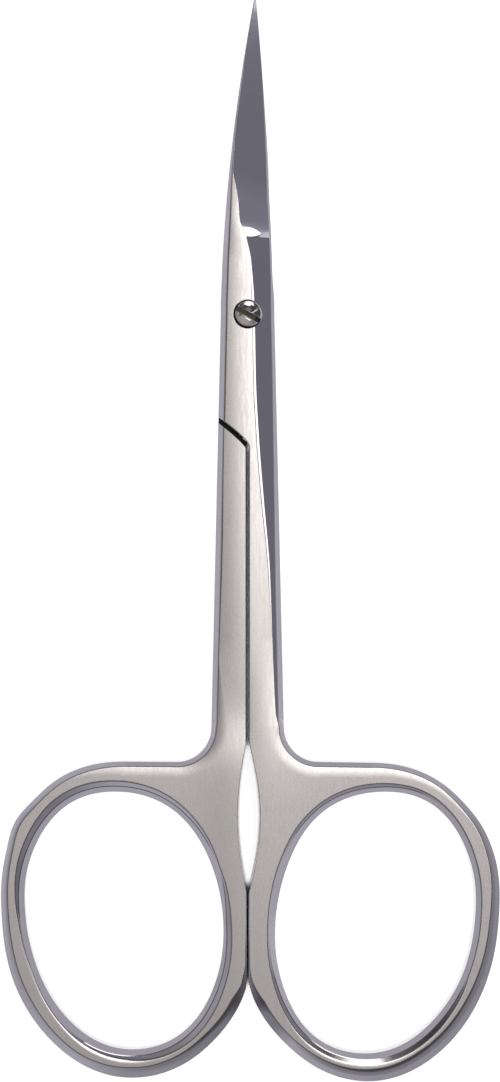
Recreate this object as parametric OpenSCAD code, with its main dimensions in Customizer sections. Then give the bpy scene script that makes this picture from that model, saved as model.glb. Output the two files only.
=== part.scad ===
// Cuticle scissors: two forged steel halves that cross at a slotted pivot screw.
// The closed scissors lie flat. +Y points along the blades, +X to the right of the
// front view and +Z toward the viewer. The origin is on the pivot axis, on the flat back.
// All sizes are in millimetres and degrees.

/* [Blades] */
// Distance from the pivot to the blade tips
blade_len = 29.05; // [26:0.05:34]
// Length of the ground bevel, measured back from the tips
grind_len = 21; // [18:0.5:22]
// Width of the closed tips
tip_w = 0.16; // [0.12:0.02:0.4]
// Sideways lean of the closed tips
tip_lean = 0.7; // [0:0.1:1]
// Rise of the tips toward the front
tip_rise = 3.2; // [0:0.1:5]
// Distance from the pivot at which the rise begins
rise_start = 7; // [6.5:0.5:9]
// How full the blade outline is between the joint and the tips
blade_taper = 1.7; // [1.4:0.05:2]
// Thickness of the cutting edge
edge_t = 0.05; // [0.04:0.01:0.1]
// Width of the rear blade's spine that shows beside the front cutting edge
spine_show = 0.28; // [0.1:0.02:0.4]
// Depth of the hollow grind in the mating face of each blade
hollow = 0.05; // [0.02:0.01:0.1]

/* [Joint] */
// Width of the closed scissors at the pivot
joint_w = 4.97; // [4.8:0.05:6.4]
// Thickness of both halves together at the pivot
joint_t = 3.6; // [3.4:0.05:4.4]
// Gap between the mating faces of the halves
run_gap = 0.06; // [0.04:0.01:0.1]
// Tilt of the facet ground beside the ridge
facet_angle = 26; // [20:1:28]
// Distance from the pivot to the outer end of the shoulder
shoulder_y = 9.5; // [9:0.1:11]
// Slope of the shoulder
shoulder_slope = 36; // [28:1:42]
// Distance over which the shoulder turns into the shank
shoulder_round = 0.7; // [0.4:0.1:1.2]
// Gap between the shoulder of one half and the shank of the other
shoulder_gap = 0.42; // [0.3:0.02:0.6]

/* [Pivot screw] */
// Diameter of the plain part of the screw, on which the front half turns
pin_d = 1.8; // [1.6:0.05:2]
// Radial running clearance of the pin in its bore
pin_clear = 0.03; // [0.02:0.01:0.06]
// Diameter over the thread crests
thread_d = 1.6; // [1.3:0.05:1.6]
// Distance from one thread crest to the next
thread_pitch = 0.35; // [0.3:0.05:0.4]
// Radial clearance between the thread and the tapped hole
thread_clear = 0.02; // [0.01:0.01:0.03]
// Diameter of the head
head_d = 2.63; // [2.5:0.05:2.9]
// Depth of the head's seat below the front face
seat_depth = 0.55; // [0.4:0.05:0.7]
// Clearance around the head in its seat
head_clear = 0.12; // [0.06:0.02:0.16]
// Gap under the head
head_gap = 0.03; // [0.02:0.01:0.05]
// Height of the head's straight rim above the front face
rim_h = 0.05; // [0:0.01:0.1]
// Height of the domed crown above the rim
dome_h = 0.3; // [0.2:0.02:0.4]
// Width of the screwdriver slot
slot_w = 0.45; // [0.3:0.05:0.5]
// Depth of the slot below the crown
slot_depth = 0.45; // [0.35:0.05:0.55]
// Direction of the slot in the front view
slot_angle = -25; // [-90:5:90]

/* [Shanks] */
// Width across both shanks where they meet the loops
shank_w = 6.72; // [6.4:0.05:7.6]
// Gap between the closed shanks
part_gap = 0.33; // [0.2:0.01:0.5]
// Width of the bevel around the outside of each half
bevel_w = 0.5; // [0.3:0.05:0.6]
// Depth of every bevel
bevel_h = 0.35; // [0.2:0.05:0.5]

/* [Finger loops] */
// Distance from the pivot to the top of the loops
loop_top = 41.4; // [36:0.1:48]
// Width of each finger hole
hole_w = 18.4; // [17:0.1:21]
// Length of each finger hole
hole_len = 24.2; // [22:0.1:28]
// Thickness of the loops, front to back, at their lower end
loop_t = 3; // [2.6:0.1:3.6]
// Width of the metal around each finger hole
loop_wall = 2.3; // [2:0.05:2.8]
// Width of the metal above each finger hole
top_wall = 2.82; // [2.4:0.02:3.2]
// Width of the metal where the loops meet, on the right and the left
meet_wall = [2.49, 2.17]; // [2:0.01:2.8]
// Gap between the loops where they meet
meet_gap = 0.2; // [0.14:0.02:0.3]
// Radius of the corner between shank and loop
crotch_r = 3.2; // [2.6:0.1:3.8]
// Depth of the relief above the meeting place, on the right and the left
relief_depth = [1.03, 0.79]; // [0.4:0.01:1.2]
// Distance from the top of the loops to the middle of the relief
relief_drop = 5.2; // [4.6:0.1:5.6]
// Half the length of the relief
relief_half = 6.9; // [6:0.1:7.5]
// Extra metal at the outer upper corner of each loop, on the right and the left
corner_extra = [0.08, 0.38]; // [0:0.02:0.5]
// Width of the bevel around each finger hole
hole_bevel_w = 0.8; // [0.5:0.05:1]

/* [Hidden] */

// Steps around rings and along curves
loop_step = 7.5;
turn_steps = 6;
round_fn = 48;

// Sides: the right loop belongs to the front half, the left loop to the back half
RIGHT = 0;
LEFT = 1;

// How far each finger hole and its rim depart from an even oval, every 30 degrees from
// the outer side through the top, as factors on the oval's radius and on the wall
hole_shape = [[1.01, 1.07, 1.08, 0.995, 0.99, 0.975, 0.995, 1.035, 1.065, 1.005, 0.96, 0.975],
              [0.985, 1.05, 1.055, 0.98, 0.98, 0.98, 1, 1.035, 1.05, 0.99, 0.945, 0.945]];
wall_shape = [[0.97, 1.03, 0.93, 1.2, 1.5, 1.5, 1.08, 1.34, 1.03, 1.14, 1.15, 1.03],
              [0.98, 1.02, 1.09, 1.25, 1.5, 1.5, 1, 1.28, 1.1, 1.15, 1.14, 1.11]];

// Direction of each loop's outer upper corner from the middle of its hole, and its extent
corner_angle = 42;
corner_spread = 9;

// Where the ridge of the outer face runs, as [distance past the pivot, share of half width]
grind_y = blade_len - grind_len;
shank_len = loop_top - crotch_r;
ridge_stop = grind_y + 0.27 * grind_len;
ridge_line = [[-0.81 * shank_len, 1], [-0.62 * shank_len, 0.68], [-0.45 * shank_len, 0.52],
              [-0.3 * shank_len, 0.38], [-0.16 * shank_len, 0.29], [0, 0.26],
              [grind_y - 0.14 * grind_len, 0.12], [grind_y - 0.06 * grind_len, -0.04],
              [grind_y - 0.01 * grind_len, -0.17], [grind_y + 0.02 * grind_len, -0.34],
              [grind_y + 0.12 * grind_len, -0.47], [ridge_stop, -0.88]];

// Ends of the overlap between a blade and the plate that carries it
plate_end = 3;
blade_root = 1.6;
root_inset = 0.02;
// Distance over which the facet drops to the ground bevel
plunge = 0.9;
// Lengths of the slopes at the start and end of the part of the rear spine that shows
show_in = 2;
show_out = 12;
show_tip = 6;

mid_z = joint_t / 2;
half_gap = run_gap / 2;
lap_z = mid_z - half_gap;
seat_z = joint_t - seat_depth;
thread_depth = 0.54 * thread_pitch;
far = 40;
lap_top = grind_y - plunge - 0.6;

function mix(a, b, t) = a + (b - a) * t;
function clamp01(t) = min(1, max(0, t));
function polar(c, r, a) = [c.x + r * cos(a), c.y + r * sin(a)];

// Smooth closed curve through values that are spaced evenly around a circle
function cubic(p, t) = p[1] + t / 2 * (p[2] - p[0] + t * (2 * p[0] - 5 * p[1] + 4 * p[2] - p[3]
    + t * (3 * (p[1] - p[2]) + p[3] - p[0])));
function around(list, a) = let (n = len(list), u = ((a % 360) + 360) % 360 / 360 * n, i = floor(u))
    cubic([for (k = [-1:2]) list[(i + k + n) % n]], u - i);

// Outline of the closed blades and shanks
function lean(y) = tip_lean * pow(max(y, 0) / blade_len, 2);
function half_w(y) = y >= 0
    ? mix(joint_w, tip_w, pow(y / blade_len, blade_taper)) / 2
    : mix(joint_w, shank_w, -y / shank_len) / 2;
function edge_x(side, y) = lean(y) * (side == RIGHT ? 1 : -1) + half_w(y);
function ridge_x(y) = half_w(y) * lookup(y, ridge_line);

// Finger holes and loops, each drawn as the right one
function oval_r(a) = hole_w * hole_len / 2 / norm([hole_len * cos(a), hole_w * sin(a)]);
function hole_r(side, a) = oval_r(a) * around(hole_shape[side], a);
function rim_r(side, a) = hole_r(side, a) + loop_wall * around(wall_shape[side], a)
    + corner_extra[side] * exp(-pow(((a % 360) - corner_angle) / corner_spread, 2));
function hole_centre(side) = [meet_gap / 2 + meet_wall[side] + hole_r(side, 180),
                              -loop_top - top_wall - hole_r(side, 90)];
handle_len = loop_top + top_wall + hole_len + loop_wall;

// Front face height of the handles, which thin evenly toward the loops
function face_z(y) = joint_t + (joint_t - loop_t) * y / handle_len;

// Rise and hollow grind of the blades' mating faces at a distance from the pivot
function rise(r) = tip_rise * pow(max(r - rise_start, 0) / (blade_len - rise_start), 2);
function dish(r) = hollow * sin(180 * clamp01((r - lap_top) / (blade_len - lap_top)));

// Shoulder of one half as a list of points from its outer end to the middle, moved down by a gap
function bend(a, b, c) = [for (i = [0:turn_steps]) let (t = i / turn_steps)
    (1 - t) * (1 - t) * a + 2 * t * (1 - t) * b + t * t * c];
function shoulder(x_out, x_mid, down) = let (
    k = tan(shoulder_slope),
    x_end = -half_w(-shoulder_y),
    y_out = -shoulder_y - down - (x_out - x_end) * k,
    y_mid = -shoulder_y - down - (x_mid - x_end) * k)
    bend([x_out, y_out], [x_mid, y_mid], [x_mid, y_mid - shoulder_round]);

// Inner side of a loop and shank, from the shoulder down to the ring
function relief_x(side, y) = let (u = abs(y + loop_top + relief_drop) / relief_half)
    u < 1 ? relief_depth[side] * cos(90 * u) : 0;
function inner_side(side, y_start) = let (
    y_end = hole_centre(side).y, n = 22)
    [for (i = [1:n]) let (y = mix(y_start, y_end, i / n))
        [mix(part_gap, meet_gap, clamp01((shank_len + y) / (shank_len + y_end))) / 2
            + relief_x(side, y), y]];
function ring(side) = let (c = hole_centre(side))
    [for (a = [200:loop_step:450]) let (p = polar(c, rim_r(side, a), a))
        [max(p.x, meet_gap / 2), p.y]];
function crotch() = let (x = half_w(-shank_len))
    [for (i = [0:turn_steps]) let (a = 270 - 90 * i / turn_steps)
        [x + crotch_r + crotch_r * cos(a), -shank_len + crotch_r * sin(a)]];
function shank_side() = [for (i = [1:turn_steps]) let (y = mix(-shank_len, plate_end, i / turn_steps))
    [half_w(y), y]];

// Whole outline of one half without its blade, drawn as the front half
function plate_outline(side) = let (
    turn = shoulder(-half_w(-shoulder_y), part_gap / 2, 0))
    concat([for (i = [0:2]) let (y = mix(plate_end, -shoulder_y, i / 3)) [-half_w(y), y]],
        turn, inner_side(side, turn[turn_steps].y), ring(side), crotch(), shank_side());

// Points of a closed outline moved inward
function inset(list, d) = let (n = len(list)) [for (i = [0:n - 1])
    let (t = list[(i + 1) % n] - list[(i + n - 1) % n])
    list[i] - d / norm(t) * [t.y, -t.x]];

// Solid through a list of sections that all have the same number of points
module loft(sections) {
    n = len(sections[0]);
    m = len(sections);
    sides = [for (i = [0:m - 2], j = [0:n - 1]) let (
        a = i * n + j, b = i * n + (j + 1) % n, c = b + n, d = a + n)
        each [[a, d, c], [a, c, b]]];
    polyhedron([for (s = sections) each s],
        concat([[for (j = [0:n - 1]) j]], sides, [[for (j = [n - 1:-1:0]) (m - 1) * n + j]]));
}

// Ring that cuts a bevel along a closed outline: on the front face, or on the flat back
module bevel(list, width, front) {
    up = front ? 1 : -1;
    reach = 0.3;
    slope = bevel_h / width;
    inner = inset(list, width + reach);
    outer = inset(list, -reach);
    n = len(list);
    face = [for (p = list) front ? face_z(p.y) : 0];
    points = [for (i = [0:n - 1]) each [
        [inner[i].x, inner[i].y, face[i] + up * reach * slope],
        [outer[i].x, outer[i].y, face[i] - up * (width + reach) * slope],
        [outer[i].x, outer[i].y, face[i] + up * reach * slope]]];
    polyhedron(points, [for (i = [0:n - 1], j = [0:2]) let (
        a = 3 * i + j, b = 3 * i + (j + 1) % 3,
        c = 3 * ((i + 1) % n) + (j + 1) % 3, d = 3 * ((i + 1) % n) + j)
        each (front ? [[a, b, c], [a, c, d]] : [[a, c, b], [a, d, c]])]);
}

// Space in front of the handles' tapering front face
module front_space() {
    translate([0, 0, joint_t]) rotate([atan((joint_t - loop_t) / handle_len), 0, 0])
        translate([-far, -3 * far, 0]) cube([2 * far, 4 * far, joint_t]);
}

// One half without its blade: shank, loop and joint as one bevelled plate with a flat back
module handle(side) {
    outline = plate_outline(side);
    c = hole_centre(side);
    hole = [for (a = [0:loop_step:359]) polar(c, hole_r(side, a), a)];
    backward = [for (i = [len(hole) - 1:-1:0]) hole[i]];
    difference() {
        linear_extrude(joint_t + 0.5) difference() {
            polygon(outline);
            polygon(hole);
        }
        front_space();
        for (front = [true, false]) {
            bevel(outline, bevel_w, front);
            bevel(backward, hole_bevel_w, front);
        }
    }
}

// Facet ground along the ridge of a half's outer face
module facet(side) {
    k = tan(facet_angle);
    reach = 6;
    loft([for (i = [0:12])
        let (y = mix(lap_top, ridge_line[0][0], i / 12), x = ridge_x(y),
             z = side == RIGHT ? face_z(y) : joint_t)
        [[x - 1, y, z + k], [x + reach, y, z - reach * k], [x + reach, y, z + k]]]);
}

// Space in which the other half's joint lies, behind the front half
module lap_space() {
    wall = [for (p = shoulder(-joint_w, -part_gap / 2, shoulder_gap / cos(shoulder_slope)))
        [-p.x, p.y]];
    low = wall[turn_steps].y;
    translate([0, 0, -1]) linear_extrude(mid_z + half_gap + 1)
        polygon(concat([[joint_w, lap_top], [-joint_w, lap_top], [-joint_w, low]],
            [for (i = [turn_steps:-1:0]) wall[i] - [root_inset, 0]]));
}

// Stations along a blade, from the tip to the root
function stations() = concat(
    [for (i = [0:15]) mix(blade_len, grind_y, i / 15)],
    [for (i = [1:4]) grind_y - plunge * i / 4],
    [for (i = [1:5]) mix(grind_y - plunge, blade_root, i / 5)]);

// Sides of a blade, and how much of the rear blade's spine shows beside the front blade
function show(y) = spine_show * clamp01((y - blade_root) / show_in)
    * clamp01((blade_len - show_tip - y) / show_out);
function left_x(side, y) = -edge_x(1 - side, y) + root_inset;
function right_x(side, y) = edge_x(side, y) - show(y) - root_inset;
function blade_w(side, y) = right_x(side, y) - left_x(side, y);

// Thickness of a blade at its ridge and at its cutting edge
function spine_t(side, y) = (mid_z - half_gap - root_inset)
    * (y > ridge_stop ? blade_w(side, y) / blade_w(side, ridge_stop) : 1);
function joint_edge_t(side, y) = spine_t(side, y)
    - tan(facet_angle) * (right_x(side, y) - ridge_x(y));
function edge_h(side, y) = let (t = clamp01((grind_y - y) / plunge))
    mix(min(edge_t, spine_t(side, y)), joint_edge_t(side, min(y, grind_y)), t * t);

// One blade, drawn as the front one: its mating face is behind and its edge is on the right.
// The back blade is turned over, so it rises the other way here.
module blade(side) {
    up = side == RIGHT ? 1 : -1;
    loft([for (y = stations()) let (
        xl = left_x(side, y), xr = right_x(side, y),
        t = spine_t(side, y), bw = min(bevel_w, (xr - xl) / 4), bh = min(bevel_h, t / 3),
        base = mid_z + half_gap + dish(y),
        zl = base + up * rise(norm([xl, y])), zr = base + up * rise(norm([xr, y])),
        taper = side == RIGHT ? face_z(y) - joint_t : 0,
        xm = max(ridge_x(y) + up * lean(y), xl + bw + root_inset))
        [[xl, y, zl], [xr, y, zr], [xr, y, zr + edge_h(side, y)],
         [xm, y, zl + t + taper], [xl + bw, y, zl + t + taper], [xl, y, zl + t + taper - bh]]]);
}

// Turns a shape that is drawn as the front half into the back half
module turned_over() {
    translate([0, 0, joint_t]) rotate([0, 180, 0]) children();
}

// Outline of the screw's thread from its axis outward, wider by a clearance
function thread_outline(grow) = let (
    crest = thread_d / 2 + grow,
    root = crest - thread_depth,
    turns = floor(lap_z / thread_pitch))
    concat([[0, 0], [root, 0]],
        [for (i = [0:turns - 1]) each [[crest, (i + 0.5) * thread_pitch],
                                       [root, (i + 1) * thread_pitch]]],
        [[root, lap_z], [0, lap_z]]);

// Front half: right loop and shank, and the blade in front
module front_half() {
    color([0.78, 0.77, 0.76]) difference() {
        union() {
            handle(RIGHT);
            blade(RIGHT);
        }
        facet(RIGHT);
        lap_space();
        cylinder(h = 2 * joint_t, d = pin_d + 2 * pin_clear, $fn = round_fn);
        translate([0, 0, seat_z]) cylinder(h = joint_t, d = head_d + 2 * head_clear, $fn = round_fn);
    }
}

// Back half: left loop and shank, and the blade behind
module back_half() {
    color([0.72, 0.72, 0.73]) difference() {
        union() {
            mirror([1, 0, 0]) handle(LEFT);
            turned_over() blade(LEFT);
        }
        turned_over() facet(LEFT);
        turned_over() lap_space();
        rotate_extrude($fn = round_fn) polygon(thread_outline(thread_clear));
        translate([0, 0, -1]) cylinder(h = joint_t, r = thread_d / 2 - thread_depth + thread_clear,
            $fn = round_fn);
    }
}

// Pivot screw: threaded end, plain pin and domed, slotted head
module pivot_screw() {
    head_r = head_d / 2;
    rim_z = joint_t + rim_h;
    dome_r = (head_r * head_r + dome_h * dome_h) / (2 * dome_h);
    dome_angle = asin(head_r / dome_r);
    dome = [for (i = [0:8]) let (a = dome_angle * (1 - i / 8))
        [dome_r * sin(a), rim_z + dome_h - dome_r + dome_r * cos(a)]];
    color([0.62, 0.6, 0.58]) difference() {
        union() {
            rotate_extrude($fn = round_fn) polygon(thread_outline(0));
            translate([0, 0, lap_z])
                cylinder(h = seat_z + head_gap - lap_z, d = pin_d, $fn = round_fn);
            rotate_extrude($fn = round_fn)
                polygon(concat([[0, seat_z + head_gap], [head_r, seat_z + head_gap]], dome));
        }
        rotate([0, 0, slot_angle]) translate([-head_d, -slot_w / 2, rim_z + dome_h - slot_depth])
            cube([2 * head_d, slot_w, joint_t]);
    }
}

front_half();
back_half();
pivot_screw();
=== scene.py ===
"""Cuticle scissors of satin steel: two bevelled halves that cross at a slotted pivot screw.

Each half is a plan that is cut into small triangles along the lines where its surfaces
change, and then raised to a top and a bottom whose heights follow from the way it is
ground: a crowned face, a facet beside the ridge, the ground bevel of the blade and the
bevels around the outline and the finger hole. The back half is drawn as the front one
and turned over. Lengths here are in millimetres until a mesh is made, apart from the
settings, the floor and the camera, which are in metres.
"""
import math
import bpy
import numpy as np
from bpy.props import FloatProperty, FloatVectorProperty, PointerProperty
from bpy.types import Operator, Panel, PropertyGroup
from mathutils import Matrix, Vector
from mathutils.geometry import delaunay_2d_cdt
from mathutils.kdtree import KDTree


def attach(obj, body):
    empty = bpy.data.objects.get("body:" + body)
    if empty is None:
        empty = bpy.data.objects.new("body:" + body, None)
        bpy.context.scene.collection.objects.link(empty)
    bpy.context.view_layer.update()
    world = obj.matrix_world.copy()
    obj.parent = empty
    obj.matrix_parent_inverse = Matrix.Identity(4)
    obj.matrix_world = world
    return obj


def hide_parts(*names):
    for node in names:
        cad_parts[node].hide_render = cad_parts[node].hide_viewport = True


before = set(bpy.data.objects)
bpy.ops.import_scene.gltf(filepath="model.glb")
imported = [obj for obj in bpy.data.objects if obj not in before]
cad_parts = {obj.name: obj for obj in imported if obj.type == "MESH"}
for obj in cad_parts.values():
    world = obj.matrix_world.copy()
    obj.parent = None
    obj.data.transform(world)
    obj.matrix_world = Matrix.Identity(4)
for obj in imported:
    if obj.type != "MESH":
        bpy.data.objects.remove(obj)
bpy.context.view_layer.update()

bl_info = {
    "name": "Cuticle scissors",
    "version": (1, 0, 0),
    "blender": (4, 5, 0),
    "location": "3D View > Sidebar > Scissors",
    "description": "Builds cuticle scissors around their packed frame",
    "category": "Object",
}

MM = 0.001
RIGHT, LEFT = 0, 1

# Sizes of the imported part, with the head of the screw a little smaller and its slot turned
# a little further
BLADE_LEN = 29.05
GRIND_LEN = 21.0
TIP_W = 0.16
TIP_LEAN = 0.7
TIP_RISE = 3.2
RISE_START = 7.0
BLADE_TAPER = 1.7
EDGE_T = 0.05
SPINE_SHOW = 0.28
HOLLOW = 0.05
JOINT_W = 4.97
JOINT_T = 3.6
HALF_GAP = 0.03
FACET_SLOPE = math.tan(math.radians(26))
SHOULDER_Y = 9.5
SHOULDER_SLOPE = math.tan(math.radians(36))
SHOULDER_ROUND = 0.7
SHOULDER_GAP = 0.42
PIN_R = 0.9
PIN_CLEAR = 0.03
THREAD_R = 0.8
THREAD_PITCH = 0.35
THREAD_CLEAR = 0.02
HEAD_R = 1.205
SEAT_Z = 3.05
HEAD_CLEAR = 0.115
HEAD_GAP = 0.03
SEAT_RIM = 0.05
SEAT_RIM_SLOPE = 0.5
RIM_H = 0.05
DOME_H = 0.3
SLOT_W = 0.45
SLOT_DEPTH = 0.45
SLOT_ANGLE = -29
SHANK_W = 6.72
PART_GAP = 0.33
LOOP_TOP = 41.4
HOLE_W = 18.4
HOLE_LEN = 24.2
LOOP_T = 3.0
LOOP_WALL = 2.3
TOP_WALL = 2.82
MEET_WALL = (2.49, 2.17)
MEET_GAP = 0.2
CROTCH_R = 3.2
RELIEF_DEPTH = (1.03, 0.79)
RELIEF_DROP = 5.2
RELIEF_HALF = 6.9
CORNER_EXTRA = (0.08, 0.38)
CORNER_ANGLE = 42
CORNER_SPREAD = 9

# Departures of the holes and their walls from an even oval, every 30 degrees
HOLE_SHAPE = ((1.01, 1.07, 1.08, 0.995, 0.99, 0.975, 0.995, 1.035, 1.065, 1.005, 0.96, 0.975),
              (0.985, 1.05, 1.055, 0.98, 0.98, 0.98, 1, 1.035, 1.05, 0.99, 0.945, 0.945))
WALL_SHAPE = ((0.97, 1.03, 0.93, 1.2, 1.5, 1.5, 1.08, 1.34, 1.03, 1.14, 1.15, 1.03),
              (0.98, 1.02, 1.09, 1.25, 1.5, 1.5, 1, 1.28, 1.1, 1.15, 1.14, 1.11))

MID_Z = JOINT_T / 2
LAP_Z = MID_Z - HALF_GAP
MATE_Z = MID_Z + HALF_GAP
GRIND_Y = BLADE_LEN - GRIND_LEN
PLUNGE = 0.9
LAP_TOP = GRIND_Y - PLUNGE - 0.6
SHANK_LEN = LOOP_TOP - CROTCH_R
RIDGE_STOP = GRIND_Y + 0.27 * GRIND_LEN
HANDLE_LEN = LOOP_TOP + TOP_WALL + HOLE_LEN + LOOP_WALL

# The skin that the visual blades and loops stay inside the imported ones, and where on a blade
# it begins
SKIN = 0.02
ROOT_Y = 1.6
SKIN_RAMP = 1.4

# How the other blade's spine comes into view, ends before the tip and fades towards it, and
# the bevel under it
SPINE_RAMP = 2
SPINE_STOP = 6
SPINE_FADE = 12
BEVEL_SPARE = 0.03
BEVEL_LEVEL = 0.08

# Where the ridge runs, as distance past the pivot and share of the half width
RIDGE = ((-SHANK_LEN, 0.86), (-0.96 * SHANK_LEN, 0.775), (-0.69 * SHANK_LEN, 0.7),
         (-0.62 * SHANK_LEN, 0.68), (-0.45 * SHANK_LEN, 0.52),
         (-0.3 * SHANK_LEN, 0.38), (-0.16 * SHANK_LEN, 0.29), (0, 0.26),
         (GRIND_Y - 0.14 * GRIND_LEN, 0.12), (GRIND_Y - 0.06 * GRIND_LEN, -0.04),
         (GRIND_Y - 0.01 * GRIND_LEN, -0.17), (GRIND_Y + 0.02 * GRIND_LEN, -0.34),
         (GRIND_Y + 0.12 * GRIND_LEN, -0.47), (RIDGE_STOP, -0.88))
RIDGE_Y, RIDGE_SHARE = np.array(RIDGE).T
RIDGE_CLEAR = 1.6
FACET_RAMP = 0.8

# Width of the bright crest between the satin face and the facet, at distances past the pivot
CREST_Y = (-30.5, -25, -16, 2, 6)
CREST_W = (0, 0.12, 0.19, 0.16, 0)
CREST_LEAST = 0.03
CREST_SLOPE = 0.02
LIP_SHARE = 0.45
LIP_SLOPE = 0.24

# Sliver of the unground blank that is left between the facet and the ground bevel, as a leaf
# that points to the right: its root, length and reach, how its edges close, the widths of the
# edges, its slope, and the slope of its polish
SLIVER_Y = GRIND_Y - PLUNGE
SLIVER_LEN = 0.9
SLIVER_REACH = 1.4
SLIVER_LOW, SLIVER_LOW_POWER = 0.35, 3
SLIVER_HIGH, SLIVER_HIGH_POWER = 0.62, 2.2
SLIVER_EDGES = (0.06, 0.2)
SLIVER_SLOPE = 0.34
SLIVER_POLISH = (-0.15, -0.03)

# Slope, place and length of the hollow in the polish where a shank runs into its loop, how
# far it reaches to the sides, and how it turns over on the right half
SHEEN = 0.06
SHEEN_Y = (36.5, 39.2)
SHEEN_LEN = (4.5, 2.6)
SHEEN_X, SHEEN_FADE = 3.6, 3.0
SHEEN_SIDES, SHEEN_TURN = (-0.5, 0.75), 2.6

# Wear on the screw's head: its shift, slope, flattened middle and lean, shallow dents as their
# place, size and depth, and a scratch; and how far along the slot the painted shade at its end
# begins
HEAD_SHIFT = (0.075, 0.075)
HEAD_SLOPE = 0.22
HEAD_BLUNT = 0.1
HEAD_TILT = (0.057, 0.057)
HEAD_DENTS = ((0.12, 0.68, 0.38, 0.09), (-0.75, 0.04, 0.14, 0.018))
SCRATCH_FROM, SCRATCH_TO = (-0.38, -0.14), (0.2, -0.5)
SCRATCH_WIDTH, SCRATCH_DEPTH = 0.07, 0.025
SLOT_SHADE_START = 0.8
# Rounding of the head's edge and of the slot's edges
ROUND_R, ROUND_DROP, ROUND_MOST = 0.1, 0.13, 0.98
ROUND_ROWS = (0, 0.02, 0.045, 0.075, 0.1)
SLOT_ROUND, SLOT_DROP = 0.06, 0.05
SLOT_ROWS = (0, 0.02, 0.04, 0.06)

# Free points of the head, and steps and ends of the lines on it
HEAD_GRID, HEAD_GRID_CLEAR, HEAD_GRID_EDGE = 0.07, 0.04, 0.05
HEAD_STEP, SLOT_PAST, SLOT_POINTS = 3, 0.1, 44
# Radius of the pin's end; the helix by its depth as a share of the pitch, its flanks and its
# crest; ends of the threads; and the neck between the thread and the plain pin
PIN_END_R = 0.56
THREAD_DEPTH, THREAD_FLANK, THREAD_CREST = 0.54, 2.3, 0.1
THREAD_START, THREAD_STOP, THREAD_ROWS = 0.12, 0.08, 44
BORE_SPARE = 0.04
BORE_END = 0.06
NECK = ((PIN_R - 0.08, LAP_Z - 0.02), (PIN_R, LAP_Z + 0.05), (PIN_R, 2.2), (PIN_R, 2.7))

# Least thickness of a blade, and levels closer than this are one level
LEAST_T = 0.02
SAME = 1e-4
# Points this near the radius of a bore or pin lie on its wall, and triangles whose middle is
# within this share of a radius lie inside its chords
AT_WALL = 0.01
IN_CHORDS = 0.9995
# How far the free points of a plan keep from its lines, as a share of their own distance
CLEAR = 0.45

# How far the painted shade, a near-black colour, reaches into the gap behind a shoulder
PAINTED_SHADE_LEN = 0.9

# Surfaces, which are also the order of the materials on a half; the last is a near-black colour
# painted as shade
SATIN, POLISH, GROUND, MATING, PAINTED_SHADE = range(5)
# Those of the screw
# the second and third carry painted shade in the slot: dark brown on its floor, near-black at its
# far end
METAL, SLOT_SHADE, DARK = range(3)
# Regions of a half's plan
OUTSIDE, HANDLE, BLADE, SEAT = -1, 0, 1, 2
# Regions of the screw's plan
RIM, SLOT, PIN, PIN_SLOT = range(4)


def prop():
    return bpy.context.scene.scissors


def mix(a, b, t):
    return a + (b - a) * t


def clamp01(t):
    return np.clip(t, 0.0, 1.0)


def ramp(value, start, length):
    """0 up to the start, 1 past the length, and straight between them."""
    return clamp01((value - start) / length)


# Outline of the closed blades and shanks

def lean(side, y):
    return TIP_LEAN * (np.maximum(y, 0) / BLADE_LEN) ** 2 * (1 if side == RIGHT else -1)


def half_width(y):
    up = mix(JOINT_W, TIP_W, (np.clip(y, 0, BLADE_LEN) / BLADE_LEN) ** BLADE_TAPER)
    down = mix(JOINT_W, SHANK_W, np.maximum(-y, 0) / SHANK_LEN)
    return np.where(y >= 0, up, down) / 2


def blade_inset(y):
    return SKIN * ramp(y, ROOT_Y, SKIN_RAMP)


def spine_shown(y):
    """How far the other blade's spine shows beside the right edge."""
    fade = clamp01((BLADE_LEN - SPINE_STOP - y) / SPINE_FADE)
    return SPINE_SHOW * ramp(y, ROOT_Y, SPINE_RAMP) * fade


def right_edge(side, y):
    return half_width(y) + lean(side, y) - spine_shown(y) - blade_inset(y)


def left_edge(side, y):
    return lean(side, y) - half_width(y) + blade_inset(y)


def blade_width(side, y):
    return right_edge(side, y) - left_edge(side, y)


# Width of the strip along the spine, at distances past the pivot
STRIP_Y = (-9, 3, 9, 13, 17, 22, 29.05)
STRIP_W = (0.42, 0.42, 0.36, 0.22, 0.1, 0.05, 0.03)


def strip_width(y):
    return np.interp(y, STRIP_Y, STRIP_W)


def smooth_table(y, at, value):
    """Value of a table at y, on a curve that never overshoots between two of its rows."""
    step = np.diff(value) / np.diff(at)
    same = step[1:] * step[:-1] > 0
    middle = np.where(same, 2 * step[1:] * step[:-1] / np.where(same, step[1:] + step[:-1], 1), 0)
    rate = np.concatenate((step[:1], middle, step[-1:]))
    y = np.clip(y, at[0], at[-1])
    k = np.clip(np.searchsorted(at, y) - 1, 0, len(step) - 1)
    run = at[k + 1] - at[k]
    t = (y - at[k]) / run
    u = 1 - t
    return (value[k] * (1 + 2 * t) * u * u + value[k + 1] * (1 + 2 * u) * t * t
            + run * (rate[k] * t * u * u - rate[k + 1] * u * t * t))


def ridge_at(side, y):
    ridge = half_width(y) * smooth_table(y, RIDGE_Y, RIDGE_SHARE) + lean(side, y)
    return np.maximum(ridge, left_edge(side, y) + RIDGE_CLEAR * strip_width(y))


# Heights of a half's surfaces

def mating(side, x, y):
    up = 1 if side == RIGHT else -1
    reach = np.hypot(x, np.maximum(y, 0)) * (y > 0)
    rise = TIP_RISE * (np.maximum(reach - RISE_START, 0) / (BLADE_LEN - RISE_START)) ** 2
    dish = HOLLOW * np.sin(math.pi * clamp01((y - LAP_TOP) / (BLADE_LEN - LAP_TOP)))
    return MATE_Z + dish + up * rise


def bevel_level(y):
    return BEVEL_LEVEL * ramp(y, ROOT_Y, SPINE_RAMP)


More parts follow.
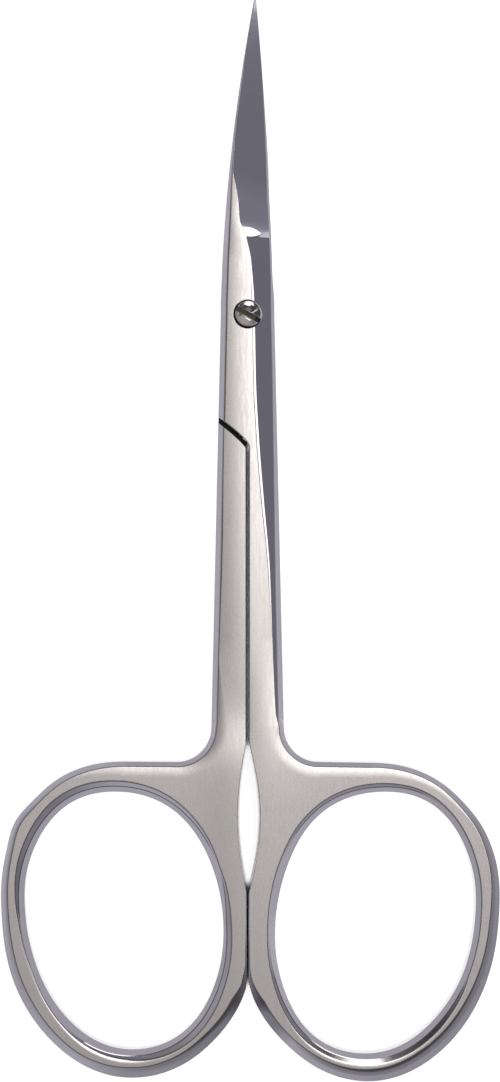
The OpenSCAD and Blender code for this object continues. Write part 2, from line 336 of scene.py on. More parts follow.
def mating_bevel(side, x, y):
    """Height that the mating face loses beside the spine, where it shows past the other blade."""
    width = spine_shown(y) + BEVEL_SPARE * (y > ROOT_Y)
    inward = width - np.maximum(x - left_edge(side, y), bevel_level(y))
    return prop().strip_slope * np.maximum(inward, 0)


def taper(side, y):
    return (JOINT_T - LOOP_T) * y / HANDLE_LEN if side == RIGHT else 0 * y


# How much more the faces are rounded towards the blade, how far the middle of the rounding
# moves to the left there, where both begin and the length that they take, where the rounding
# ends before the loops, and the share of its slope that their polish keeps
CROWN_BLADE = 1.6
CROWN_SHIFT = 0.85
CROWN_Y, CROWN_RAMP = 5, 4
CROWN_END, CROWN_FADE = 30, 8
CROWN_LOOPS = 0.45


def crown(x, y, loops=0.0):
    """Depth that the rounding takes off a face; loops is the share of it kept at the loops."""
    p = prop()
    reach = p.crown_reach / MM
    blade = ramp(y, CROWN_Y, CROWN_RAMP)
    more = 1 + CROWN_BLADE * blade - (1 - loops) * ramp(-y, CROWN_END, CROWN_FADE)
    from_middle = x + CROWN_SHIFT * blade
    return p.crown_amount * more * reach ** 2 / 2 * np.arctan((from_middle / reach) ** 2)


def face_thick(side, x, y):
    """Thickness above the mating level at the satin face."""
    share = np.where(y > RIDGE_STOP, blade_width(side, y) / blade_width(side, RIDGE_STOP), 1)
    return LAP_Z * share + taper(side, y) - crown(x, y) * share


def ground_slope(side, y):
    """Slope of the surface between the ridge and the right edge."""
    xr, xm = right_edge(side, y), ridge_at(side, y)
    at_ridge = face_thick(side, xm, y)
    root = at_ridge - FACET_SLOPE * (xr - xm)
    t = clamp01((GRIND_Y - y) / PLUNGE)
    edge = mix(np.minimum(EDGE_T, at_ridge), root, t * t)
    ground = (at_ridge - edge) / np.maximum(xr - xm, 1e-6)
    return np.where(y > GRIND_Y - PLUNGE, ground, FACET_SLOPE * on_facet(y))


def on_facet(y):
    """Share of the facet's slope that is reached, from its lower end upward."""
    return ramp(y, RIDGE_Y[0], FACET_RAMP)


def crest_width(y):
    return np.interp(y, CREST_Y, CREST_W)


def crest_drop(side, x, y):
    """Depth of the crest beside the ridge and of the fine step down to it."""
    width = crest_width(y)
    start = ridge_at(side, y) - width
    lip = LIP_SHARE * width
    return (CREST_SLOPE * np.clip(x - start, 0, width)
            + LIP_SLOPE * np.clip(x - start + lip, 0, lip))


def outer_height(side, x, y):
    """Height of the outer face before its bevels; below the ridge's end it is all satin."""
    xm = np.where(y > RIDGE_Y[0], ridge_at(side, y), np.inf)
    near = np.minimum(x, xm)
    thick = face_thick(side, near, y) - crest_drop(side, near, y) * (y > RIDGE_Y[0])
    ground = thick - ground_slope(side, y) * np.maximum(x - xm, 0)
    return mating(side, x, y) + mix(ground, blank_thick(side, x, y), sliver(side, x, y))


def sliver_edges(side, x):
    """Lower and upper edge of the sliver at a distance to the right."""
    start = ridge_at(side, SLIVER_Y)
    t = clamp01((x - start) / SLIVER_REACH)
    return (SLIVER_Y + SLIVER_LEN * SLIVER_LOW * t ** SLIVER_LOW_POWER,
            SLIVER_Y + SLIVER_LEN * (1 - SLIVER_HIGH * t ** SLIVER_HIGH_POWER))


def sliver(side, x, y):
    """Share of the unground blank: 1 on the sliver beside the ridge, 0 elsewhere."""
    low, high = sliver_edges(side, x)
    rise, fall = SLIVER_EDGES
    share = clamp01((y - low) / rise) * clamp01((high + fall / 2 - y) / fall)
    return share * (x < ridge_at(side, SLIVER_Y) + SLIVER_REACH)


def blank_thick(side, x, y):
    start = ridge_at(side, SLIVER_Y)
    return face_thick(side, np.minimum(x, start), y) - SLIVER_SLOPE * np.maximum(x - start, 0)


def sheen(side, x, y):
    """Slight hollow in the polish where a shank runs into its loop, as a slope along it."""
    across = 1 - ramp(np.abs(x), SHEEN_X, SHEEN_FADE)
    if side == RIGHT:
        across = across * mix(*SHEEN_SIDES, clamp01(x / SHEEN_TURN))
    return SHEEN * across * np.exp(-((y + SHEEN_Y[side]) / SHEEN_LEN[side]) ** 2)


def inner_height(side, x, y):
    """Height of the other face of the shank and loop before its bevels."""
    base = 0 * y if side == RIGHT else JOINT_T - (JOINT_T + (JOINT_T - LOOP_T) * y / HANDLE_LEN)
    return base + crown(x, y)


# Finger holes and loops, each drawn as the right one

def around(values, degrees):
    """Smooth curve through values that stand evenly around a circle."""
    v = np.array(values)
    u = np.mod(degrees, 360) / 360 * len(v)
    i = np.floor(u).astype(int)
    t = u - i
    a, b, c, d = (v[(i + k) % len(v)] for k in (-1, 0, 1, 2))
    return b + t / 2 * (c - a + t * (2 * a - 5 * b + 4 * c - d + t * (3 * (b - c) + d - a)))


def hole_radius(side, degrees):
    a = np.radians(degrees)
    oval = HOLE_W * HOLE_LEN / 2 / np.hypot(HOLE_LEN * np.cos(a), HOLE_W * np.sin(a))
    return oval * around(HOLE_SHAPE[side], degrees)


def rim_radius(side, degrees):
    corner = np.exp(-((np.mod(degrees, 360) - CORNER_ANGLE) / CORNER_SPREAD) ** 2)
    return (hole_radius(side, degrees) + LOOP_WALL * around(WALL_SHAPE[side], degrees)
            + CORNER_EXTRA[side] * corner - SKIN)


def hole_centre(side):
    return np.array((MEET_GAP / 2 + MEET_WALL[side] + hole_radius(side, 180),
                     -LOOP_TOP - TOP_WALL - hole_radius(side, 90)))


def polar(centre, radius, degrees):
    a = np.radians(degrees)
    return np.column_stack((centre[0] + radius * np.cos(a), centre[1] + radius * np.sin(a)))


def bend(a, b, c, n):
    """Curve from a to c that leans towards b."""
    t = np.linspace(0, 1, n)[:, None]
    return (1 - t) ** 2 * np.array(a) + 2 * t * (1 - t) * np.array(b) + t * t * np.array(c)


def shoulder(x_out, x_mid, down):
    """Diagonal of a shoulder from the outside to the middle, and its turn down the shank."""
    x_end = -float(half_width(np.array(-SHOULDER_Y)))
    y_out, y_mid = (-SHOULDER_Y - down - (x - x_end) * SHOULDER_SLOPE for x in (x_out, x_mid))
    return bend((x_out, y_out), (x_mid, y_mid), (x_mid, y_mid - SHOULDER_ROUND),
                CURVE_ROWS)


def lap_line():
    """Line where the space for the other half ends, from the middle to the right."""
    line = shoulder(-JOINT_W, -PART_GAP / 2, SHOULDER_GAP * math.hypot(1, SHOULDER_SLOPE))
    line[:, 0] = -line[:, 0] - SKIN
    line = line[::-1]
    return np.vstack(((line[0][0] - 1, line[0][1]), line))


# Bevels around the loops, by the angle around the hole's middle. The outer bevel has a
# width, a slope at its edge and a slope beside the face; the hole's has a strip, a fine line,
# a band above it with a slope of its own, a fillet, and a soft edge of the face.
OUTER_ANGLES = (180, 200, 215, 235, 255, 270, 290, 320, 345, 360, 400, 425, 450)
OUTER_WIDTH = ((0.03, 0.08, 0.75, 0.78, 1.0, 1.12, 1.22, 1.05, 0.86, 0.78, 0.5, 0.36, 0.36),
               (0.05, 0.1, 0.8, 0.95, 0.95, 0.95, 0.72, 0.74, 0.68, 0.6, 0.5, 0.42, 0.36))
OUTER_SLOPE = ((0.88, 0.5, 0.36, 0.76, 0.68, 0.6, 0.6, 0.6, 0.61, 0.62, 0.72, 0.9, 0.95),
               (0.8, 0.45, 0.34, 0.56, 0.6, 0.58, 0.74, 0.7, 0.76, 0.82, 0.92, 0.95, 0.95))
FACE_SLOPE = ((0.88, 0.45, 0.32, 0.7, 0.3, 0.2, 0.2, 0.3, 0.38, 0.44, 0.62, 0.9, 0.92),
              (0.8, 0.4, 0.32, 0.26, 0.4, 0.53, 0.66, 0.64, 0.6, 0.58, 0.62, 0.92, 0.95))
HOLE_ANGLES = (0, 30, 60, 90, 120, 150, 180, 210, 240, 270, 300, 330, 360)
HOLE_STRIP = ((0.44, 0.4, 0.46, 0.42, 0.5, 0.72, 0.64, 0.46, 0.38, 0.48, 0.44, 0.42, 0.44),
              (0.5, 0.5, 0.5, 0.5, 0.42, 0.58, 0.24, 0.36, 0.42, 0.5, 0.6, 0.44, 0.5))
STRIP_SLOPE = (0.88, 0.84, 0.8, 0.78, 0.8, 0.84, 0.88, 0.93, 0.97, 1.0, 0.97, 0.93, 0.88)
HOLE_BAND = ((0, 0, 0.03, 0.22, 0.14, 0, 0, 0.1, 0.3, 0.34, 0.32, 0, 0),
             (0.05, 0.34, 0.45, 0.34, 0.22, 0, 0.32, 0.34, 0.4, 0.2, 0, 0, 0.05))
BAND_SLOPE = ((0.6, 0.6, 0.6, 0.6, 0.64, 0.6, 0.6, 0.6, 0.5, 0.31, 0.42, 0.6, 0.6),
              (0.5, 0.47, 0.53, 0.76, 0.78, 0.7, 0.62, 0.7, 0.78, 0.54, 0.54, 0.7, 0.5))
HOLE_GLOW = ((0.05, 0.05, 0.05, 0.05, 0.05, 0.05, 0.05, 0.05, 0.12, 0.25, 0.15, 0.05, 0.05),
             (0.05, 0.05, 0.05, 0.05, 0.05, 0.05, 0.05, 0.05, 0.12, 0.2, 0.14, 0.2, 0.05))
HOLE_FILLET = ((0.14, 0.16, 0.14, 0.12, 0.12, 0.14, 0.12, 0.12, 0.12, 0.12, 0.12, 0.14, 0.14),
               (0.12, 0.12, 0.14, 0.16, 0.12, 0.12, 0.12, 0.12, 0.14, 0.28, 0.2, 0.12, 0.12))
LINE_SLOPE = 0.34
LINE_WIDTH = 0.09
HOLE_EDGE = 0.16
# Angle at which the soft edge of each ring's face begins to widen
GLOW_FROM = (405, 428)
SPINE_SLOPE = 0.79
FILLET = 0.14
# Widths of the strips along a shank, beside the facet at the joint and across the top of a
# loop, and widths of a soft and of a hard edge
SHANK_STRIP, JOINT_STRIP, TOP_STRIP = 0.42, 0.26, 0.36
SOFT, HARD = 1.0, 0.03
# The narrow bevel at the shoulder and the inner side, and how far it goes on past the shoulder
SLIM = {"strip": 0.02, "fillet": 0.04, "rounding": HARD}
SHOULDER_PAST = 1.2
# Shares of a ring's bevel in its strip and in its ease, its fillet beside the meeting place,
# and the width of the soft edge round the ring
RING_PARTS = (0.45, 0.55)
MEET_ANGLES, MEET_FILLET = (200, 216), (0.05, 0.12)
RING_GLOW = (0.05, 0.05, 0.9)
# Fillet and soft edge along the spine, fillet and slope beside the facet, the wider fillet on
# the back of a shank, and the least band that a fine line goes with
SPINE_FILLET, SPINE_ROUND = 0.4, 0.1
FACET_FILLET, FACET_EDGE = 0.1, 0.02
WIDE_FILLET, WIDE_Y, WIDE_LEN = 0.1, 22, 6
BAND_LEAST = 0.1
# Length in which a shank's round edge turns sharp, and where its strip becomes narrower
SHARP_LEN = 6
NARROW_Y, NARROW_LEN = -26, 20
# Shares of a bevel's parts at which the plan is cut, so that their curves come out round, and
# the least distance between two cuts
EASE_ROWS, FILLET_ROWS, EDGE_ROWS = (0.35, 0.7, 1.0), (0.3, 0.6, 1.0), (0.5, 1.0)
ROW_GAP = 0.02
# Numbers of points along a shoulder or crotch, a shank's inner side, the ridge below and above
# the root of the grind, the spine's bevel and the sliver, and the lines across the plunge
CURVE_ROWS, INNER_ROWS, RIDGE_ROWS, GRIND_ROWS, SPINE_ROWS, SLIVER_ROWS = 24, 150, 130, 110, 80, 18
PLUNGE_LINES, PLUNGE_ROWS = 8, 22
# How far the lines stay from the tip, and how far those across the plunge pass the edge
TIP_SPARE, EDGE_PAST = 0.05, 0.2
# Angles of a ring from the meeting place round to the top, and the steps along curves
RING_FROM, RING_TO, RING_STEP = 200, 450, 1.25
HOLE_STEP, TOP_STEP, TURN_STEP = 1.5, 0.3, 3.75


def bands(n, strip, ease=0.0, second=0.0, fillet=FILLET, rounding=0.05, slope=None,
          ease_from=None, ease_to=None, slope2=None, edge=None):
    """Rows of a bevel's widths and slopes: strip, step, band, fillet and soft edge."""
    first = prop().strip_slope if slope is None else slope
    start = first if ease_from is None else ease_from
    stop = start if ease_to is None else ease_to
    row = (strip, ease, second, fillet, rounding, first, start, stop,
           stop if slope2 is None else slope2, prop().edge_slope if edge is None else edge)
    return np.column_stack([np.broadcast_to(np.asarray(v, float), (n,)) for v in row])


class Line:
    """A line of the plan that a bevel follows, with the bevel's widths at every point."""

    def __init__(self, points, widths, closed):
        self.points, self.widths, self.closed = np.asarray(points, float), widths, closed
        p = self.points
        if closed:
            ahead, behind = np.roll(p, -1, 0), np.roll(p, 1, 0)
        else:
            ahead, behind = np.vstack((p[1:], p[-1])), np.vstack((p[0], p[:-1]))
        t = ahead - behind
        t /= np.linalg.norm(t, axis=1)[:, None]
        self.normals = np.column_stack((-t[:, 1], t[:, 0]))
        self.tree = KDTree(len(p))
        for i, (x, y) in enumerate(p):
            self.tree.insert((x, y, 0), i)
        self.tree.balance()

    def nearest(self, q):
        """Distance, inward normal and widths at the nearest place of the line."""
        n = len(self.points)
        found = np.array([self.tree.find((x, y, 0))[1] for x, y in q])
        best = np.full(len(q), np.inf)
        normal = np.zeros((len(q), 2))
        width = np.zeros((len(q), self.widths.shape[1]))
        for step in (-1, 0):
            a = (found + step) % n if self.closed else np.clip(found + step, 0, n - 2)
            b = (a + 1) % n
            pa, ab = self.points[a], self.points[b] - self.points[a]
            t = clamp01(((q - pa) * ab).sum(1) / np.maximum((ab * ab).sum(1), 1e-12))
            d = np.linalg.norm(q - pa - t[:, None] * ab, axis=1)
            nearer = d < best
            best = np.where(nearer, d, best)
            m = mix(self.normals[a], self.normals[b], t[:, None])
            normal = np.where(nearer[:, None], m, normal)
            w = mix(self.widths[a], self.widths[b], t[:, None])
            width = np.where(nearer[:, None], w, width)
        normal /= np.maximum(np.linalg.norm(normal, axis=1), 1e-9)[:, None]
        return best, normal, width

    def drop(self, q):
        """Depth of the bevel below the face, its gradient, and whether a place is on it."""
        d, normal, w = self.nearest(q)
        strip, step_from, step_to, band, edge = w[:, 5:].T
        edge = np.minimum(edge, np.maximum(strip, 0))
        depth, slope, start = 0.0, np.zeros(len(d)), 0.0
        for k, (a, b) in enumerate(((strip, strip), (step_from, step_to), (band, band),
                                    (band, edge), (edge, 0 * edge))):
            length = w[:, k]
            u = clamp01((d - start) / np.maximum(length, 1e-9))
            depth = depth + length * (a * (1 - u) + (b - a) * (1 - u * u) / 2)
            slope = np.where((d >= start) & (d < start + length), a + (b - a) * u, slope)
            start = start + length
        on_bevel = d < w[:, :4].sum(1)
        return depth, -slope[:, None] * normal, on_bevel

    def contours(self):
        """Lines at the distances where the bevel's slope changes."""
        w = self.widths
        sums = np.cumsum(w[:, :5], axis=1)
        levels = [sums[:, 0]] + [sums[:, 0] + w[:, 1] * t for t in EASE_ROWS]
        levels += [sums[:, 2]] + [sums[:, 2] + w[:, 3] * t for t in FILLET_ROWS]
        levels += [sums[:, 3] + w[:, 4] * t for t in EDGE_ROWS]
        kept = []
        for level in levels:
            if not kept or np.max(level - kept[-1]) > ROW_GAP:
                kept.append(level)
        return [self.points + level[:, None] * self.normals for level in kept]


def half_lines(side):
    """Outline of a half, and the lines that its bevels follow."""
    p = prop()

    def along(edge, start, stop):
        y = np.linspace(start, stop, int(abs(stop - start) / (p.fine_step / MM)))
        return np.column_stack((edge(side, y), y))

    # left side, from the tip down to the outer end of the shoulder
    left = along(left_edge, BLADE_LEN, -SHOULDER_Y)
    past = left[-1] - left[-5]
    spine = np.vstack((left, left[-1] + past, left[-1] + 2 * past))
    strip = strip_width(spine[:, 1])
    spine_bands = bands(len(spine), strip, fillet=SPINE_FILLET * strip,
                        rounding=SPINE_ROUND, slope=SPINE_SLOPE)
    spine_line = Line(spine, spine_bands, False)
    # shoulder, then down the inner side to the ring
    turn = shoulder(left[-1][0], PART_GAP / 2, 0)
    centre = hole_centre(side)
    y = np.linspace(turn[-1][1], centre[1], INNER_ROWS)[1:]
    u = np.abs(y + LOOP_TOP + RELIEF_DROP) / RELIEF_HALF
    relief = np.where(u < 1, RELIEF_DEPTH[side] * np.cos(np.radians(90 * np.minimum(u, 1))), 0)
    gap = mix(PART_GAP, MEET_GAP, clamp01((SHANK_LEN + y) / (SHANK_LEN + centre[1]))) / 2
    inner = np.column_stack((gap + relief, y))
    # ring, from the meeting place round to the top
    a = np.arange(RING_FROM, RING_TO + 0.01, RING_STEP)
    ring = polar(centre, rim_radius(side, a), a)
    ring[:, 0] = np.maximum(ring[:, 0], MEET_GAP / 2)
    # straight top, crotch and right side
    x = float(half_width(np.array(-SHANK_LEN)))
    crotch = polar((x + CROTCH_R, -SHANK_LEN), CROTCH_R, np.linspace(270, 180, CURVE_ROWS))
    steps = int(np.linalg.norm(ring[-1] - crotch[0]) / TOP_STEP)
    top = np.array([mix(ring[-1], crotch[0], k / steps) for k in range(1, steps)])
    shank = along(right_edge, -SHANK_LEN, SLIVER_Y)[1:]
    edge = along(right_edge, SLIVER_Y, BLADE_LEN)[1:]
    outline = np.vstack((left, turn[1:], inner, ring, top, crotch, shank, edge))
    # bevels around the handle, which on the shank's front cross the facet
    outward = (turn[0] - turn[1]) / np.linalg.norm(turn[0] - turn[1]) * SHOULDER_PAST
    at_edge, at_face = (np.interp(a, OUTER_ANGLES, t[side]) for t in (OUTER_SLOPE, FACE_SLOPE))
    wide = np.interp(a, OUTER_ANGLES, OUTER_WIDTH[side])
    parts = [
        (np.vstack((turn[0] + outward, turn)), SLIM),
        (inner, SLIM),
        (ring, dict(strip=RING_PARTS[0] * wide, ease=RING_PARTS[1] * wide, slope=at_edge,
                    ease_from=at_edge, ease_to=at_face,
                    fillet=np.interp(a, MEET_ANGLES, MEET_FILLET),
                    rounding=np.interp(a, (RING_FROM, GLOW_FROM[side], RING_TO), RING_GLOW))),
        (top, dict(strip=TOP_STRIP, rounding=RING_GLOW[-1])),
        (crotch, dict(strip=TOP_STRIP, rounding=SOFT)),
    ]
    y = shank[:, 1]
    facet, up = on_facet(y), ramp(y, -SHANK_LEN, SHARP_LEN)
    strip = mix(SHANK_STRIP, JOINT_STRIP, ramp(y, NARROW_Y, NARROW_LEN))
    left_over = clamp01(1 - spine_shown(y) / strip) * (y < ROOT_Y + SPINE_RAMP)
    rounding = mix(SOFT, HARD, up)
    front = dict(strip=strip * left_over, fillet=mix(FILLET, FACET_FILLET, facet) * left_over,
                 rounding=rounding * left_over, slope=p.strip_slope - FACET_SLOPE * facet,
                 edge=mix(p.edge_slope, FACET_EDGE, facet))
    back = dict(strip=SHANK_STRIP, rounding=rounding, slope=mix(p.strip_slope, SPINE_SLOPE, up),
                fillet=FILLET + WIDE_FILLET * np.exp(-((y + WIDE_Y) / WIDE_LEN) ** 2))
    outer_line, back_line = (
        Line(np.vstack([line for line, _ in parts] + [shank]),
             np.vstack([bands(len(line), **widths) for line, widths in parts + [(shank, last)]]),
             False) for last in (front, back))
    # finger hole, clockwise, so that its inward side is the metal
    a = np.arange(360, 0, -HOLE_STEP)
    hole = polar(centre, hole_radius(side, a), a)
    strip, band, above, glow, fillet = (
        np.interp(a, HOLE_ANGLES, t[side])
        for t in (HOLE_STRIP, HOLE_BAND, BAND_SLOPE, HOLE_GLOW, HOLE_FILLET))
    steep = np.interp(a, HOLE_ANGLES, STRIP_SLOPE)
    there = clamp01(band / BAND_LEAST)
    widths = bands(len(a), strip, ease=LINE_WIDTH * there, second=band, fillet=fillet,
                   rounding=glow, slope=steep, ease_from=mix(steep, LINE_SLOPE, there),
                   slope2=mix(steep, above, there), edge=HOLE_EDGE)
    hole_line = Line(hole, widths, True)
    return outline, spine_line, outer_line, back_line, hole_line


# Cutting a plan into triangles

# Points that are tested at a time, and the height of an even triangle whose sides are 1
BATCH = 4000
TRIANGLE_H = 0.866


def inside(polygon, q):
    """Whether points lie inside a polygon."""
    result = np.zeros(len(q), bool)
    a, b = polygon, np.roll(polygon, -1, 0)
    for start in range(0, len(q), BATCH):
        x, y = q[start:start + BATCH, 0, None], q[start:start + BATCH, 1, None]
        crosses = (a[:, 1] > y) != (b[:, 1] > y)
        rise = np.where(b[:, 1] == a[:, 1], 1e-12, b[:, 1] - a[:, 1])
        at = a[:, 0] + (y - a[:, 1]) * (b[:, 0] - a[:, 0]) / rise
        result[start:start + BATCH] = (crosses & (x < at)).sum(1) % 2 == 1
    return result


def grid_points(low, high, step):
    """Points of an even grid of triangles."""
    rows = []
    for k, y in enumerate(np.arange(low[1], high[1], step * TRIANGLE_H)):
        x = np.arange(low[0] + (k % 2) * step / 2, high[0], step)
        rows.append(np.column_stack((x, np.full(len(x), y))))
    return np.vstack(rows)


def triangulate(closed_lines, open_lines, loose, clear):
    """Triangles over points and lines; lines that cross are cut where they cross."""
    points, edges = [], []
    for lines, closed in ((closed_lines, True), (open_lines, False)):
        for line in lines:
            first = len(points)
            points += [tuple(p) for p in line]
            n = len(line)
            edges += [(first + i, first + (i + 1) % n) for i in range(n if closed else n - 1)]
    tree = KDTree(len(points))
    for i, (x, y) in enumerate(points):
        tree.insert((x, y, 0), i)
    tree.balance()
    points += [(x, y) for x, y in loose if tree.find((x, y, 0))[2] > clear]
    made = delaunay_2d_cdt([Vector(p) for p in points], edges, [], 0, SAME, False)
    plan = np.array([(v.x, v.y) for v in made[0]])
    tris = np.array([f for f in made[2] if len(f) == 3])
    a, b, c = (plan[tris[:, k]] for k in range(3))
    area = (b[:, 0] - a[:, 0]) * (c[:, 1] - a[:, 1]) - (b[:, 1] - a[:, 1]) * (c[:, 0] - a[:, 0])
    tris[area < 0] = tris[area < 0][:, ::-1]
    tris = tris[np.abs(area) > 1e-9]
    return plan, tris


# How far from a triangle's corner towards its middle the corner's normal is taken, so that a
# triangle beside a sharp line keeps to its own surface
INTO = 0.1
# Walls whose directions agree by more than this cosine are shaded as one smooth wall
SMOOTH_TURN = 0.9


class Shell:
    """A closed surface over a plan: a top, a bottom, and walls where these jump."""

    def __init__(self):
        self.index, self.verts = {}, []
        self.wall_kind = POLISH
        self.faces, self.normals, self.kinds = [], [], []

    def vert(self, i, point):
        """Vertex at a level above or below point i of the plan, made once."""
        key = (i, round(float(point[2]), 4))
        if key not in self.index:
            self.index[key] = len(self.verts)
            self.verts.append(tuple(float(v) for v in point))
        return self.index[key]

    def add(self, corners, normals, kind):
        kept = [k for k, c in enumerate(corners) if c != corners[k - 1]]
        if len(kept) >= 3:
            self.faces.append([corners[k] for k in kept])
            self.normals.append([normals[k] for k in kept])
            self.kinds.append(kind)

    def build(self, plan, tris, region, surface, wall_rows=None):
        """surface(region, top, points) gives places, normals and kinds."""
        ends = {}
        for r in sorted(set(region) - {OUTSIDE}):
            mine = tris[region == r]
            used = np.unique(mine)
            corners = plan[mine]
            toward = corners.mean(1, keepdims=True)
            looked = (corners + (toward - corners) * INTO).reshape(-1, 2)
            for top in (False, True):
                place = surface(r, top, plan[used])[0]
                at = dict(zip(used.tolist(), place))
                normal = surface(r, top, looked)[1].reshape(-1, 3, 3)
                kind = surface(r, top, toward[:, 0])[2]
                for i in used.tolist():
                    ends[(i, r, top)] = at[i]
                for t, n, k in zip(mine.tolist(), normal, kind):
                    corner = [self.vert(i, at[i]) for i in t]
                    if top:
                        self.add(corner, list(n), int(k))
                    else:
                        self.add(corner[::-1], list(n[::-1]), int(k))
        self.walls(plan, tris, region, ends, wall_rows)

    def walls(self, plan, tris, region, ends, wall_rows):
        """Close the outer sides, and the steps between regions at different levels."""
        sides = {}
        for t, r in zip(tris.tolist(), region.tolist()):
            if r != OUTSIDE:
                for k in range(3):
                    a, b = t[k], t[(k + 1) % 3]
                    sides.setdefault((min(a, b), max(a, b)), []).append((a, b, r))
        levels = {}
        for (i, r, top), p in ends.items():
            levels.setdefault(i, {})[round(float(p[2]), 4)] = p
        quads = []
        for both in sides.values():
            a, b, r = both[0]
            if len(both) == 1:
                quads.append((a, b, (r, False), (r, True)))
            elif both[1][2] != r:
                s = both[1][2]
                for top in (True, False):
                    z, w = (ends[(a, k, top)][2] + ends[(b, k, top)][2] for k in (r, s))
                    if abs(z - w) > SAME:
                        low, high = ((s, top), (r, top)) if z > w else ((r, top), (s, top))
                        ahead = (z > w) == top
                        quads.append((a, b, low, high) if ahead else (b, a, low, high))
        facing, outward = {}, []
        for a, b, low, high in quads:
            d = plan[b] - plan[a]
            outward.append(np.array((d[1], -d[0], 0)) / max(np.hypot(*d), 1e-9))
            for i in (a, b):
                facing.setdefault(i, []).append(outward[-1])
        for (a, b, low, high), own in zip(quads, outward):
            chains, normals = [], []
            for i in (a, b):
                bottom, top = ends[(i, *low)], ends[(i, *high)]
                rows = wall_rows(plan[i], bottom, top) if wall_rows else None
                if rows is None:
                    rows = [levels[i][z] for z in sorted(levels[i])
                            if bottom[2] + SAME < z < top[2] - SAME]
                chains.append([bottom, *rows, top])
                n = sum(m for m in facing[i] if m @ own > SMOOTH_TURN)
                normals.append(n / np.linalg.norm(n))
            if wall_rows and len(chains[0]) == len(chains[1]) > 2:
                self.turned_wall(a, b, *chains)
            else:
                left = [self.vert(a, p) for p in chains[0]]
                right = [self.vert(b, p) for p in chains[1]]
                corner = [left[0], *right, *left[:0:-1]]
                normal = [normals[0]] + [normals[1]] * len(right) + [normals[0]] * (len(left) - 1)
                self.add(corner, normal, self.wall_kind)

    def turned_wall(self, a, b, left, right):
        """Wall with a turned profile, such as a thread, as a column of small faces."""
        for places in zip(left, right, right[1:], left[1:]):
            p, q, r, s = (np.array(place) for place in places)
            n = np.cross((q - p) + (r - s), (s - p) + (r - q))
            n = n / max(np.linalg.norm(n), 1e-9)
            corner = [self.vert(a, p), self.vert(b, q), self.vert(b, r), self.vert(a, s)]
            self.add(corner, [n] * 4, self.wall_kind)

    def object(self, name, turned, materials):
        """Mesh object in metres; a turned shape is turned over about the pivot."""
        verts, normals = np.array(self.verts), self.normals
        flat = np.array([n for face in normals for n in face])
        if turned:
            verts = np.column_stack((-verts[:, 0], verts[:, 1], JOINT_T - verts[:, 2]))
            flat = flat * (-1, 1, -1)
        mesh = bpy.data.meshes.new(name)
        mesh.from_pydata((verts * MM).tolist(), [], self.faces)
        for material in materials:
            mesh.materials.append(material)
        mesh.polygons.foreach_set("material_index", self.kinds)
        mesh.polygons.foreach_set("use_smooth", [True] * len(self.faces))
        mesh.update()
        mesh.normals_split_custom_set(flat.tolist())
        if mesh.validate(clean_customdata=False):
            print(f"{name}: the mesh had faults that were mended")
        obj = bpy.data.objects.new(name, mesh)
        bpy.context.scene.collection.objects.link(obj)
        return obj


def upward(slope_x, slope_y, up=1):
    """Unit normals of surfaces with these slopes; up is -1 for an underside."""
    n = np.column_stack((-slope_x, -slope_y, np.ones(len(slope_x))))
    return n / np.linalg.norm(n, axis=1)[:, None] * up


def gradient(height, q):
    """Slopes of a height along x and y."""
    h = 0.002
    x, y = q.T
    return ((height(x + h, y) - height(x - h, y)) / (2 * h),
            (height(x, y + h) - height(x, y - h)) / (2 * h))


def thread_radius(x, y, z, grow):
    """Radius of the screw's helical thread at a place."""
    turn = np.arctan2(y, x) / (2 * math.pi)
    phase = np.mod(z / THREAD_PITCH - turn, 1)
    depth = THREAD_DEPTH * THREAD_PITCH
    return THREAD_R + grow - depth * clamp01(abs(phase - 0.5) * THREAD_FLANK - THREAD_CREST)


def thread_rows(x, y, z_low, z_high, grow, turned=False):
    """Places along a thread at the angle of a point, from low to high."""
    a = math.atan2(y, x)
    rows = []
    for z in np.linspace(z_low, z_high, THREAD_ROWS):
        seen = (-x, y, JOINT_T - z) if turned else (x, y, z)
        r = float(thread_radius(*seen, grow))
        rows.append((r * math.cos(a), r * math.sin(a), z))
    return rows


# Materials

def node(tree, kind, inputs=None, **settings):
    """A new shader node; its inputs are values, or sockets that are linked to them."""
    made = tree.nodes.new("ShaderNode" + kind)
    for name, value in settings.items():
        setattr(made, name, value)
    for name, value in (inputs or {}).items():
        if isinstance(value, bpy.types.NodeSocket):
            tree.links.new(value, made.inputs[name])
        else:
            made.inputs[name].default_value = value
    return made


def noise(tree, place, scale, detail):
    """Noise with this number of cells in a metre along each axis."""
    stretched = node(tree, "Mapping", {"Vector": place, "Scale": scale}).outputs["Vector"]
    made = node(tree, "TexNoise", {"Vector": stretched, "Scale": 1.0, "Detail": detail})
    return made.outputs["Fac"]


def spread(tree, value, low, high, start=0.3, stop=0.7):
    """A value stretched so that start becomes low and stop becomes high."""
    made = node(tree, "MapRange", {"Value": value, "From Min": start, "From Max": stop,
                                   "To Min": low, "To Max": high})
    return made.outputs["Result"]


def bump(tree, height, strength, below=None):
    """Normal of a relief, which may lie on another one."""
    inputs = {"Height": height, "Strength": strength, "Distance": RELIEF}
    if below:
        inputs["Normal"] = below
    return node(tree, "Bump", inputs).outputs["Normal"]


# Depth of the relief in metres, number of faint patches in a metre, detail of each noise,
# strength of the scratches beside the streaks, and how much the roughness varies
RELIEF = 0.00001
PATCHES = (160, 160, 160)
STREAK_DETAIL, PATCH_DETAIL, SCRATCH_DETAIL = 5.0, 3.0, 2.0
SCRATCH_SHARE = 0.6
ROUGH_SPREAD = 0.15


